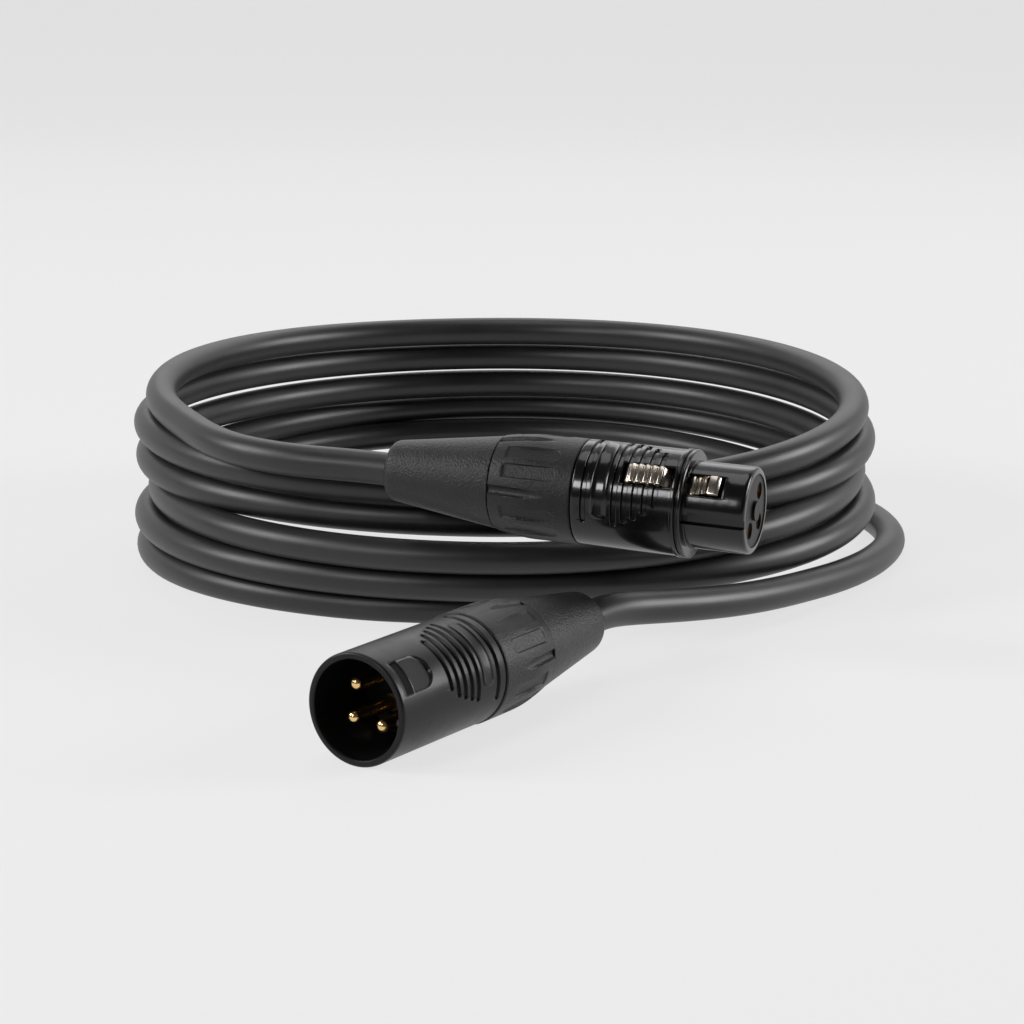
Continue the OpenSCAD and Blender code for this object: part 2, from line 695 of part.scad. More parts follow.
module female_shield_lead() {
  x_end = f_cup_x0 + cup_depth - seat_gap;
  color("peru") place_female() core_lead(-contact_r, 0, f_insert_x0 - 1, x_end);
}

module female_ground_strip() {
  color(nickel) place_female()
    translate([face_x - front_wall - 2 - f_strip_len + strip_gap, -strip_w / 2, strip_z - strip_t])
      cube([f_strip_len - 2 * strip_gap, strip_w, strip_t]);
}

// Male connector
module male_shell() {
  body_r = m_body_d / 2;
  cavity_r = cavity_d / 2;
  spigot_x0 = shell_x0 - spigot_len;
  edge = 0.3;
  color(lacquer_black) place_male() difference() {
    union() {
      difference() {
        union() {
          turned(concat(
            [[spigot_x0, 0], [spigot_x0, spigot_d / 2 - edge], [spigot_x0 + edge, spigot_d / 2],
             [shell_x0, spigot_d / 2], [shell_x0, body_r - edge], [shell_x0 + edge, body_r]],
            [for (a = [0 : 15 : 90])
               [rim_x - rim_round * (1 - sin(a)), body_r - rim_round * (1 - cos(a))]],
            [[rim_x, 0]]));
          label_pad(body_r, 40);
        }
        bar(spigot_x0 - 1, shell_x0 + 1, spigot_bore_r);
        bar(shell_x0, floor_x + 1, bore_r);
        bar(floor_x, rim_x + 1, cavity_r);
      }
      rotate([-key_angle, 0, 0]) translate([floor_x + 3.2, -key_rib_w / 2, cavity_r - key_rib_h])
        cube([rim_x - key_rib_at - floor_x - 3.2, key_rib_w, key_rib_h + 0.3]);
    }
    shell_grooves(body_r, m_groove_halves);
    translate([rim_x - catch_at - catch_len, -catch_w / 2, 0]) cube([catch_len, catch_w, body_r + 1]);
    translate([0, 0, body_r - dee_depth]) {
      translate([rim_x - dee_at - dee_len, -catch_w / 2, 0]) cube([dee_len, catch_w, 3]);
      translate([rim_x - dee_at - dee_len, 0, 0]) cylinder(h = 3, d = catch_w);
    }
  }
}

module male_insert() {
  flange_r = cavity_d / 2 - insert_gap;
  color(black) place_male() difference() {
    union() {
      bar(m_insert_x0, m_face_x, insert_r);
      bar(floor_x + insert_gap, m_face_x, flange_r);
    }
    for (p = [[contact_r, 0], [-contact_r, 0], [0, -contact_r]]) translate([0, p[0], p[1]])
      bar(m_insert_x0 - 1, m_face_x + 1, pin_root_d / 2 + seat_gap);
    translate([m_insert_x0 - 1, -strip_w / 2 - strip_gap, strip_z - strip_gap - 3 - strip_t])
      cube([m_strip_len + 1.5, strip_w + 2 * strip_gap, 3 + strip_t + 2 * strip_gap]);
  }
}

module male_pin(y, z) {
  tip = 0.9;
  r = pin_d / 2;
  color(gold) place_male() translate([0, y, z]) difference() {
    turned(concat([[m_cup_x0, 0], [m_cup_x0, pin_root_d / 2], [m_face_x, pin_root_d / 2],
                   [m_face_x, r], [pin_x1 - tip, r]],
                  [for (a = [15 : 15 : 75]) [pin_x1 - tip * (1 - sin(a)), r - 0.8 * (1 - cos(a))]],
                  [[pin_x1, r - 0.8], [pin_x1, 0]]));
    bar(m_cup_x0 - 1, m_cup_x0 + cup_depth, cup_d / 2);
  }
}

module male_pin_1() { male_pin(contact_r, 0); }
module male_pin_2() { male_pin(-contact_r, 0); }
module male_pin_3() { male_pin(0, -contact_r); }

module male_core_leads() {
  x_end = m_cup_x0 + cup_depth - seat_gap;
  color("firebrick") place_male() core_lead(-contact_r, 0, m_cup_x0 - 0.5, x_end);
  color("ivory") place_male() core_lead(0, -contact_r, m_cup_x0 - 0.5, x_end);
}

module male_shield_lead() {
  x_end = m_cup_x0 + cup_depth - seat_gap;
  color("peru") place_male() core_lead(contact_r, 0, m_cup_x0 - 0.5, x_end);
}

module male_ground_strip() {
  color(nickel) place_male() translate([m_insert_x0, -strip_w / 2, strip_z - strip_t])
    cube([m_strip_len, strip_w, strip_t]);
}

cable_coil();
cable_tail();
female_shell();
color(black) place_female() nut();  // female_nut
color(black) place_female() boot();  // female_boot
color("dimgray") place_female() chuck();  // female_chuck
female_insert();
female_contact_1();
female_contact_2();
female_contact_3();
latch_lever();
latch_spring();
female_core_leads();
female_shield_lead();
female_ground_strip();
male_shell();
color(black) place_male() nut();  // male_nut
color(black) place_male() boot();  // male_boot
color("dimgray") place_male() chuck();  // male_chuck
male_insert();
male_pin_1();
male_pin_2();
male_pin_3();
male_core_leads();
male_shield_lead();
male_ground_strip();
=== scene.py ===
import bmesh
import bpy
import math
import numpy as np
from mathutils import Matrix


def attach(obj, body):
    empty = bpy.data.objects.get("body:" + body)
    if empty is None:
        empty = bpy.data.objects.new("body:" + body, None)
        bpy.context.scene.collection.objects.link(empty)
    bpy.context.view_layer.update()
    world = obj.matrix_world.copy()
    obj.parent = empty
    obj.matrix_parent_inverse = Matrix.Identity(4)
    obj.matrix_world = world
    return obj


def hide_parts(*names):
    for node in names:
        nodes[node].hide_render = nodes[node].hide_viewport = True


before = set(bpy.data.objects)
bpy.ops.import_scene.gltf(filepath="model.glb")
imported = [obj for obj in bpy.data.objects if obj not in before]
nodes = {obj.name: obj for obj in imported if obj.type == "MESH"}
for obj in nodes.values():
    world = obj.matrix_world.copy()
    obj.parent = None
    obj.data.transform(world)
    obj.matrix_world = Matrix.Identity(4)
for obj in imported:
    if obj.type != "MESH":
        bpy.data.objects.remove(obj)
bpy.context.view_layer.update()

# ---- Camera ----
# A long lens, a little above the coil, looking along +Y at its front.
camera_pitch = math.radians(12.15)
camera_lens_mm = 108.07
camera_data = bpy.data.cameras.new("camera")
camera_data.sensor_width = 36.0
camera_data.lens = camera_lens_mm
camera_data.clip_start = 0.01
camera = bpy.data.objects.new("camera", camera_data)
camera.location = (-0.0017, -0.5962, 0.1438)
camera.rotation_euler = (math.pi / 2 - camera_pitch, 0.0, 0.0)
bpy.context.scene.collection.objects.link(camera)
bpy.context.scene.camera = camera

# ---- Cable jacket ----
# One flexible lead with an extruded black jacket, nearly six turns lying on each other.
# It leaves the female connector, winds clockwise and runs out to the male one.
MM = 0.001
coil_at = np.array([-2.9, 36.9, 0.0])
female_at = np.array([-21.2, -71.2, 30.9])
male_at = np.array([13.5, -103.4, 9.9])
female_turns = (51.0, 2.2, -20.0)
male_turns = (-51.0, 0.3, -123.4)
jacket_radius = 3.1
jacket_end_x = 37.3
straight_out = 6.0
rest_z = 2.5
front_z = np.array([30.2, 25.3, 19.3, 14.2, 8.2, rest_z])
back_z = np.array([33.7, 27.4, 20.7, 14.4, 9.2, rest_z])
front_r = np.array([78.75, 66, 62.75, 72.5, 69.5, 66])
back_r = np.array([79.75, 82.5, 83.75, 88, 83.5, 78])
left_r = np.array([71.5, 74.25, 74, 71.5, 74.5, 74.25])
right_r = np.array([72.25, 73.75, 71.75, 74, 70, 73])
side_rise = 0.086
hump_turn, hump_half_turns, hump_rise, hump_draw_in = 4.86, 0.2, 3.4, 6
rings_per_turn, first_ring, ring_end = 24, 2, 132
blend_turns, mean_r, line_step, jacket_sides = 0.12, 74, 3.0, 28
tail_points = np.array([
    [0, 78, rest_z], [6, 78, rest_z], [15, 77.2, rest_z], [26, 75, rest_z], [37, 71, rest_z],
    [47.5, 65, rest_z], [57.5, 57, rest_z], [66, 47, rest_z], [73, 35, rest_z], [78, 22, rest_z],
    [80.5, 9, rest_z], [80.5, -4, rest_z],
    [77.5, -17, 2.7], [72.5, -29.5, 3], [66, -41, 3.4], [58.5, -52, 4.1], [49.5, -64, 5.1],
    [39, -75.5, 6.5], [30, -84, 7.9], [23, -90.5, 9.1]])


def turning(roll, droop, turn):
    """Rotation matrix: roll about X, then droop about Y, then turn about Z, in degrees."""
    a, b, c = np.radians([roll, droop, turn])
    about_x = np.array([[1, 0, 0], [0, np.cos(a), -np.sin(a)], [0, np.sin(a), np.cos(a)]])
    about_y = np.array([[np.cos(b), 0, np.sin(b)], [0, 1, 0], [-np.sin(b), 0, np.cos(b)]])
    about_z = np.array([[np.cos(c), -np.sin(c), 0], [np.sin(c), np.cos(c), 0], [0, 0, 1]])
    return about_z @ about_y @ about_x


female_turning = turning(*female_turns)
male_turning = turning(*male_turns)


def in_female(points):
    """Points of the female connector's own frame, in mm, placed in the object's frame in metres."""
    return (np.asarray(points) @ female_turning.T + female_at + coil_at) * MM


def in_male(points):
    """Points of the male connector's own frame, in mm, placed in the object's frame in metres."""
    return (np.asarray(points) @ male_turning.T + male_at + coil_at) * MM


def winding(t):
    """Centre line of the turns at t turns, clockwise from the front: an ellipse whose radii and
    height pass smoothly from the front's values to the back's, with a hump over the free end."""
    a = 2 * np.pi * t
    w = (1 + np.cos(a)) / 2
    back = np.minimum(5, np.floor(t + 0.001).astype(int))
    front = np.minimum(5, np.floor(t + 0.501).astype(int))
    side = np.where(np.sin(a) > 0, left_r[back], right_r[back])
    hump = np.cos(np.pi / 2 * np.clip((t - hump_turn) / hump_half_turns, -1, 1)) ** 2
    return np.stack([
        -(side - hump_draw_in * hump) * np.sin(a),
        -(front_r[front] * w + back_r[back] * (1 - w) - hump_draw_in * hump) * np.cos(a),
        (front_z[front] * w + back_z[back] * (1 - w)) * (1 + side_rise * np.sin(a) ** 2)
        + hump_rise * hump,
    ], 1)


def smooth_line(points, spacing):
    """Natural cubic spline through the points, over their chord length, sampled at even steps."""
    step = np.linalg.norm(np.diff(points, axis=0), axis=1)
    s = np.concatenate([[0], np.cumsum(step)])
    n = len(s)
    system = np.eye(n)
    right = np.zeros((n, 3))
    inner = np.arange(1, n - 1)
    system[inner, inner - 1] = step[:-1]
    system[inner, inner] = 2 * (step[:-1] + step[1:])
    system[inner, inner + 1] = step[1:]
    slope = np.diff(points, axis=0) / step[:, None]
    right[inner] = 6 * (slope[1:] - slope[:-1])
    bend = np.linalg.solve(system, right)
    q = np.linspace(0, s[-1], int(s[-1] / spacing) + 1)
    k = np.clip(np.searchsorted(s, q, side="right") - 1, 0, n - 2)
    h = step[k][:, None]
    a = (s[k + 1] - q)[:, None] / h
    b = (q - s[k])[:, None] / h
    return (a * points[k] + b * points[k + 1]
            + ((a ** 3 - a) * bend[k] + (b ** 3 - b) * bend[k + 1]) * h ** 2 / 6)


def tube(name, line, radius, sides, lowest=None):
    """A round tube: at each point of the line a circle in the plane across it, whose first
    direction is level. UV u runs round it once and v counts diameters along it."""
    along = np.gradient(line, axis=0)
    along /= np.linalg.norm(along, axis=1)[:, None]
    level = np.cross(along, [0.0, 0.0, 1.0])
    level /= np.linalg.norm(level, axis=1)[:, None]
    upward = np.cross(level, along)
    a = 2 * np.pi * np.arange(sides) / sides
    ring = (line[:, None] + radius * (np.cos(a)[None, :, None] * level[:, None]
                                      + np.sin(a)[None, :, None] * upward[:, None]))
    if lowest is not None:
        ring[..., 2] = np.maximum(ring[..., 2], lowest)
    n = len(line)
    verts = np.concatenate([ring.reshape(-1, 3), line[:1], line[-1:]])
    i, j = np.meshgrid(np.arange(n - 1), np.arange(sides), indexing="ij")
    i, j = i.ravel(), j.ravel()
    k = (j + 1) % sides
    quads = np.stack([i * sides + j, i * sides + k, (i + 1) * sides + k, (i + 1) * sides + j], 1)
    c = np.arange(sides)
    near = np.stack([np.full(sides, n * sides), (c + 1) % sides, c], 1)
    far = np.stack([np.full(sides, n * sides + 1), (n - 1) * sides + c,
                    (n - 1) * sides + (c + 1) % sides], 1)
    mesh = bpy.data.meshes.new(name)
    mesh.from_pydata(verts.tolist(), [], quads.tolist() + near.tolist() + far.tolist())
    length = np.concatenate([[0], np.cumsum(np.linalg.norm(np.diff(line, axis=0), axis=1))])
    v = length / (2 * radius)
    u = np.stack([j, j + 1, j + 1, j], 1) / sides
    uv = np.stack([u, np.stack([v[i], v[i], v[i + 1], v[i + 1]], 1)], 2).reshape(-1, 2)
    ends = np.zeros((len(near) * 3 + len(far) * 3, 2))
    layer = mesh.uv_layers.new(name="UVMap")
    layer.data.foreach_set("uv", np.concatenate([uv, ends]).ravel())
    mesh.shade_smooth()
    piece = bpy.data.objects.new(name, mesh)
    bpy.context.scene.collection.objects.link(piece)
    return piece


def finish_nodes(name, color, roughness, metallic=0.0):
    """A new material with its shader's plain values set, and its node tree and shader."""
    material = bpy.data.materials.new(name)
    material.use_nodes = True
    tree = material.node_tree
    shader = tree.nodes["Principled BSDF"]
    shader.inputs["Base Color"].default_value = (*color, 1.0)
    shader.inputs["Roughness"].default_value = roughness
    shader.inputs["Metallic"].default_value = metallic
    return material, tree, shader


def texture(tree, kind, scale, vector=None, **values):
    """A procedural texture node on Object coordinates, or on the given vector output."""
    node = tree.nodes.new(kind)
    node.inputs["Scale"].default_value = scale
    for key, value in values.items():
        node.inputs[key].default_value = value
    if vector is None:
        vector = tree.nodes.new("ShaderNodeTexCoord").outputs["Object"]
    tree.links.new(vector, node.inputs["Vector"])
    return node


def ramp(tree, source, low, high, at_low, at_high):
    """A colour ramp between two colours, from one value of the source to another."""
    node = tree.nodes.new("ShaderNodeValToRGB")
    node.color_ramp.elements[0].position = at_low
    node.color_ramp.elements[0].color = (*low, 1.0)
    node.color_ramp.elements[1].position = at_high
    node.color_ramp.elements[1].color = (*high, 1.0)
    tree.links.new(source, node.inputs["Fac"])
    return node.outputs["Color"]


def spread(tree, source, low, high):
    """The source's 0 to 1 mapped to a range of plain values."""
    node = tree.nodes.new("ShaderNodeMapRange")
    node.inputs["To Min"].default_value = low
    node.inputs["To Max"].default_value = high
    tree.links.new(source, node.inputs["Value"])
    return node.outputs["Result"]


def bump(tree, shader, height, strength, distance, before=None):
    """Raises the surface by a height pattern, on top of an earlier bump if there is one."""
    node = tree.nodes.new("ShaderNodeBump")
    node.inputs["Strength"].default_value = strength
    node.inputs["Distance"].default_value = distance
    tree.links.new(height, node.inputs["Height"])
    if before is not None:
        tree.links.new(before, node.inputs["Normal"])
    tree.links.new(node.outputs["Normal"], shader.inputs["Normal"])
    return node.outputs["Normal"]


turn = np.arange(first_ring, ring_end) / rings_per_turn
run = turn - 1 / rings_per_turn
ease = np.clip(run / blend_turns, 0, 1)
ease = (ease * ease * (3 - 2 * ease))[:, None]
female_axis, male_axis = female_turning[:, 0], male_turning[:, 0]
axis_line = female_at - (run * 2 * np.pi * mean_r)[:, None] * female_axis
turns_line = axis_line * (1 - ease) + winding(turn) * ease
female_run = np.array([jacket_end_x, 30, 22, 14, 7, 0, -straight_out])[:, None]
male_run = np.array([-straight_out - 2, 0, 7, 14, 22, 30, jacket_end_x])[:, None]
inside_female = female_at + female_run * female_axis
inside_male = male_at + male_run * male_axis
route = np.concatenate([inside_female, turns_line, [[-6, 78, rest_z]], tail_points, inside_male])
cable_line = (smooth_line(route, line_step) + coil_at) * MM
jacket = tube("cable_jacket", cable_line, jacket_radius * MM, jacket_sides, 0.0)

jacket_finish, tree, shader = finish_nodes("extruded_jacket", (0.015, 0.015, 0.0153), 0.42)
uv = tree.nodes.new("ShaderNodeTexCoord").outputs["UV"]
stretch = tree.nodes.new("ShaderNodeMapping")
stretch.inputs["Scale"].default_value = (60.0, 0.35, 1.0)
tree.links.new(uv, stretch.inputs["Vector"])
die_lines = texture(tree, "ShaderNodeTexNoise", 1.0, stretch.outputs["Vector"], Detail=3.0)
mottle = texture(tree, "ShaderNodeTexNoise", 90.0, Detail=4.0)
grain = texture(tree, "ShaderNodeTexNoise", 5200.0, Detail=2.0)
jacket_color = ramp(tree, mottle.outputs["Fac"], (0.013, 0.013, 0.0132), (0.018, 0.018, 0.0184), 0.35, 0.65)
tree.links.new(jacket_color, shader.inputs["Base Color"])
tree.links.new(spread(tree, mottle.outputs["Fac"], 0.36, 0.48), shader.inputs["Roughness"])
fine = bump(tree, shader, grain.outputs["Fac"], 0.25, 0.00004)
bump(tree, shader, die_lines.outputs["Fac"], 0.35, 0.00003, fine)
jacket.data.materials.append(jacket_finish)
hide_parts("cable_coil", "cable_tail")
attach(jacket, "cable")

# ---- Boots ----
# Tapered sleeves of soft black plastic that guard the cable where it enters each connector.
# Each is moulded in one piece with a neck that turns inside its ring nut.
boot_corners = np.array([
    [0, 3.16, 0.15], [0, 5.5, 1.9], [22, 8.6, 0.3], [22, 6.4, 0.05], [26, 6.4, 0.3], [26, 3.4, 0.1],
    [2.2, 3.4, 0.1], [1.4, 3.16, 0.1]])


def rounded(corners, steps=6, closed=True):
    """Outline through corners (a, b, fillet): each corner gives way to a parabola between the two
    points that lie one fillet from it along its edges."""
    corner = corners[:, :2]
    before, after = np.roll(corner, 1, 0) - corner, np.roll(corner, -1, 0) - corner
    before /= np.linalg.norm(before, axis=1)[:, None]
    after /= np.linalg.norm(after, axis=1)[:, None]
    s = np.linspace(0, 1, steps)[None, :, None]
    fillet = corners[:, 2:3]
    arcs = ((1 - s) ** 2 * (corner + before * fillet)[:, None] + 2 * s * (1 - s) * corner[:, None]
            + s ** 2 * (corner + after * fillet)[:, None])
    if closed:
        return arcs.reshape(-1, 2)
    return np.concatenate([corner[:1], arcs[1:-1].reshape(-1, 2), corner[-1:]])


def skin(name, verts, faces, body, slot_name, finish, *replaced):
    """A smooth piece from whole arrays of points and faces, merged, with its finish and place."""
    mesh = bpy.data.meshes.new(name)
    mesh.from_pydata(verts.tolist(), [], faces)
    loose = bmesh.new()
    loose.from_mesh(mesh)
    bmesh.ops.remove_doubles(loose, verts=loose.verts, dist=2e-7)
    loose.to_mesh(mesh)
    loose.free()
    mesh.shade_smooth()
    mesh.set_sharp_from_angle(angle=math.radians(38))
    mesh.materials.append(finish)
    piece = bpy.data.objects.new(name, mesh)
    bpy.context.scene.collection.objects.link(piece)
    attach(piece, body)
    if replaced:
        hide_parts(*replaced)
    return piece


def turned(place, x, r, sides, closed=True):
    """Points and faces of a body of revolution: the profile (x, r) swept round X, where r may also
    vary with the angle, as (x, -r sin angle, r cos angle)."""
    angle = 2 * np.pi * np.arange(sides) / sides
    r = r if r.ndim == 2 else np.repeat(r[:, None], sides, 1)
    verts = np.stack([np.repeat(x[:, None], sides, 1), -r * np.sin(angle), r * np.cos(angle)], 2)
    n = len(x)
    i, j = np.meshgrid(np.arange(n if closed else n - 1), np.arange(sides), indexing="ij")
    i, j = i.ravel(), j.ravel()
    up, on = (i + 1) % n, (j + 1) % sides
    faces = np.stack([i * sides + j, i * sides + on, up * sides + on, up * sides + j], 1)
    return place(verts.reshape(-1, 3)), faces.tolist()


def grained(name, dark, light, rough_low, rough_high, grain_scale, grain_depth, reflection=0.5):
    """Moulded plastic: cloudy colour and gloss, over a fine spark-eroded grain."""
    material, tree, shader = finish_nodes(name, dark, rough_low)
    shader.inputs["Specular IOR Level"].default_value = reflection
    cloud = texture(tree, "ShaderNodeTexNoise", 160.0, Detail=5.0, Roughness=0.6)
    grain = texture(tree, "ShaderNodeTexNoise", grain_scale, Detail=3.0, Roughness=0.65)
    pits = texture(tree, "ShaderNodeTexVoronoi", grain_scale * 0.8)
    tree.links.new(ramp(tree, cloud.outputs["Fac"], dark, light, 0.35, 0.7), shader.inputs["Base Color"])
    tree.links.new(spread(tree, grain.outputs["Fac"], rough_low, rough_high), shader.inputs["Roughness"])
    first = bump(tree, shader, grain.outputs["Fac"], 0.9, grain_depth)
    bump(tree, shader, pits.outputs["Distance"], 0.5, grain_depth, first)
    return material


boot_finish = grained("boot_soft_plastic", (0.005, 0.005, 0.0053), (0.01, 0.01, 0.0103), 0.3, 0.48,
                      3000.0, 0.00014, 0.4)
profile = rounded(boot_corners, 8)
for side, place in (("female", in_female), ("male", in_male)):
    skin(f"{side}_boot_sleeve", *turned(place, profile[:, 0], profile[:, 1], 128),
         f"{side}_boot", "boot", boot_finish, f"{side}_boot")

# ---- Ring nuts ----
# The moulded ring that screws on behind each shell and squeezes the chuck on the cable.
# Five long wedges run out from its seam, with two sunk grip pads between each pair.
nut_seam_x, nut_front_x, swell_end_x = 22.1, 38.2, 30.1
nut_seam_r, nut_full_r = 8.75, 9.7
wedge_run, wedge_r, wedge_cut, wedge_soft = 11.0, 0.9, 0.6, 0.12
wedge_step_deg, pad_off_deg, pad_edge, pad_fade = 72, 11.75, 0.16, 0.8
pad_round_x, pad_back_x, pad_half_w, pad_floor, pad_slope = 33.8, 24.3, 1.3, 9.4, 0.05


def smooth_step(value):
    """0 below 0, 1 above 1, and an S curve between."""
    t = np.clip(value, 0, 1)
    return t * t * (3 - 2 * t)


def soft_least(a, b, blend):
    """The lesser of two heights, with the crease between them rounded over the blend."""
    h = np.maximum(blend - np.abs(a - b), 0) / blend
    return np.minimum(a, b) - h * h * blend / 4


def nut_surface(x, angle):
    """Outer radius: a quarter sine from the seam to the full radius, less the round-bottomed
    wedges, whose floors climb in a straight line, and the flat-floored pads."""
    whole = nut_seam_r + (nut_full_r - nut_seam_r) * np.sin(
        np.pi / 2 * np.clip((x - nut_seam_x) / (swell_end_x - nut_seam_x), 0, 1))
    from_wedge = np.radians(np.mod(angle, wedge_step_deg) - wedge_step_deg / 2)
    across = whole * np.sin(from_wedge)
    floor_r = nut_seam_r - wedge_cut + (nut_full_r - nut_seam_r + wedge_cut) * (x - nut_seam_x) / wedge_run
    groove = floor_r + wedge_r - np.sqrt(np.maximum(wedge_r ** 2 - across ** 2, 0))
    groove = np.where(np.abs(across) < wedge_r, groove, 99) + 0 * x
    from_middle = np.mod(angle + wedge_step_deg / 2, wedge_step_deg) - wedge_step_deg / 2
    from_pad = np.radians(np.abs(from_middle) - pad_off_deg)
    across = whole * np.sin(from_pad)
    beyond = np.maximum(x - pad_round_x, 0)
    outline = np.hypot(beyond, across) - pad_half_w
    pad = (pad_floor - (pad_round_x - x) * pad_slope) / np.cos(from_pad)
    inside = smooth_step(0.5 - outline / pad_edge) * smooth_step((x - pad_back_x) / pad_fade)
    sunk = whole + (np.minimum(pad, whole) - whole) * inside
    return soft_least(sunk, groove, wedge_soft)


nut_finish = grained("ring_nut_plastic", (0.006, 0.006, 0.0063), (0.011, 0.011, 0.0113), 0.32, 0.5,
                     3200.0, 0.00009, 0.35)
angles = 360 * np.arange(480) / 480
outer_x = np.concatenate([np.linspace(nut_seam_x + 0.15, 33.6, 60), np.linspace(33.75, 35.3, 14),
                          np.linspace(35.6, nut_front_x - 0.3, 8)])
outer_r = nut_surface(outer_x[:, None], angles[None, :])
inner = rounded(np.array([[nut_front_x, 9.7, 0.3], [nut_front_x, 7.55, 0.15], [28.6, 7.55, 0.05],
                          [28.6, 5.0, 0.1], [27.1, 5.0, 0.1], [27.1, 6.45, 0.05],
                          [nut_seam_x, 6.45, 0.05], [nut_seam_x, 8.6, 0.1]]), 5)
inner_r = np.repeat(inner[:, 1:], len(angles), 1)
seam_rim = (inner[:, 1] > 7.8) & (inner[:, 0] <= 30)
inner_r[seam_rim] = np.minimum(inner_r[seam_rim], outer_r[:1] - 0.1)
for side, place in (("female", in_female), ("male", in_male)):
    skin(f"{side}_ring_nut", *turned(place, np.concatenate([outer_x, inner[:, 0]]),
                                     np.concatenate([outer_r, inner_r]), len(angles)),
         f"{side}_nut", "nut", nut_finish, f"{side}_nut")

# ---- Chucks ----
# Slit grey collars of tough plastic that grip the cable jacket inside each nut.
# They sit in the spigot, out of sight once the nut is screwed home.


def dress(node, finish):
    """Gives a solid that is carried as it is a finish in place of its plain one."""
    nodes[node].data.materials.clear()
    nodes[node].data.materials.append(finish)


chuck_finish = grained("chuck_plastic", (0.1, 0.1, 0.102), (0.135, 0.135, 0.137), 0.38, 0.5, 3000.0, 0.00003)
for side in ("female", "male"):
    dress(f"{side}_chuck", chuck_finish)

# ---- Female shell ----
# A die-cast sleeve in glossy black lacquer, with a thumb slot, a double lip and a key groove.
# Five grooves cross its latch side in front of a bare label pad, and a window shows the hook.
shell_start, key_angle, slot_angle = 30.3, 48, 13.5
back_groove_x, first_groove_x, groove_step = 40.7, 46.5, 1.9
label_x, label_half_x, label_corner = 43.7, 1.5, 1.2
slot_half, slot_from, slot_to, window_from, window_to = 2.1, 47.3, 57.0, 59.0, 65.8
groove_half_w, groove_cut, groove_edge = 0.45, 0.45, 0.13


def band_distance(x, arc, at, half_x, half_arc, corner):
    """Signed distance on the surface from a rounded rectangle, negative inside."""
    qx = np.abs(x - at) - half_x + corner
    qa = np.abs(arc) - half_arc + corner
    return np.hypot(np.maximum(qx, 0), np.maximum(qa, 0)) + np.minimum(np.maximum(qx, qa), 0) - corner


def grooved(r, x, angle, grooves, label_half):
    """The radius less the round-ended grooves (centre, half angle), plus the label pad, which is a
    low plateau with a fine raised rim."""
    arc = r * np.radians(angle)
    for at, half in grooves:
        d = band_distance(x, arc, at, groove_half_w, r * math.radians(half), groove_half_w)
        r = r - groove_cut * smooth_step(0.5 - d / (2 * groove_edge))
    d = band_distance(x, arc, label_x, label_half_x, r * math.radians(label_half), label_corner)
    return r + 0.06 * smooth_step(0.5 - d / 0.24) + 0.11 * np.exp(-((d + 0.2) / 0.13) ** 2)


def stations(outline, *extra):
    """All the places along X where either side of a sleeve needs points, in order."""
    x = np.concatenate([outline[:, 0], *extra])
    x = np.sort(x)
    return x[np.concatenate([[True], np.diff(x) > 0.003])]


def groove_stations(centres):
    """Points across each groove: close together at its two edges."""
    edge = np.array([-groove_edge, -0.08, -0.04, 0, 0.04, 0.08, groove_edge])
    across = np.concatenate([edge - groove_half_w, [-0.2, 0, 0.2], edge + groove_half_w])
    return np.concatenate([c + across for c in centres])


def opened(angle, r, half_width, at):
    """Angles shifted so that the line at one base angle runs straight, half_width from the axis
    plane, at any radius: stretched inside it and taken up again before 66 degrees."""
    edge = np.degrees(np.arcsin(half_width / r))
    size = np.abs(angle)
    inside = size * edge / at
    beside = edge + (size - at) * (66 - edge) / (66 - at)
    return np.sign(angle) * np.where(size <= at, inside, np.where(size < 66, beside, size))


def sleeve(place, x, outer_r, outer_angle, inner_r, inner_angle, kept):
    """Points and faces of a wall between two surfaces over one grid: kept cells get a face on each
    side, and every edge between a kept and a missing cell gets a wall."""
    n, m = outer_r.shape

    def points(r, angle):
        a = np.radians(angle)
        return np.stack([np.repeat(x[:, None], m, 1), -r * np.sin(a), r * np.cos(a)], 2).reshape(-1, 3)

    verts = np.concatenate([points(outer_r, outer_angle), points(inner_r, inner_angle)])
    o, within = np.arange(n * m).reshape(n, m), n * m
    a, b = o[:-1], np.roll(o[:-1], -1, 1)
    d, c = o[1:], np.roll(o[1:], -1, 1)
    padded = np.pad(kept, ((1, 1), (0, 0)))
    sides = [
        (kept, [a, b, c, d]),
        (kept, [d + within, c + within, b + within, a + within]),
        (kept & ~padded[:-2], [a, a + within, b + within, b]),
        (kept & ~padded[2:], [d, c, c + within, d + within]),
        (kept & ~np.roll(kept, -1, 1), [b, b + within, c + within, c]),
        (kept & ~np.roll(kept, 1, 1), [a, d, d + within, a + within])]
    faces = np.concatenate([np.stack([corner[where] for corner in corners], 1) for where, corners in sides])
    used, faces = np.unique(faces, return_inverse=True)
    return place(verts[used]), faces.reshape(-1, 4).tolist()


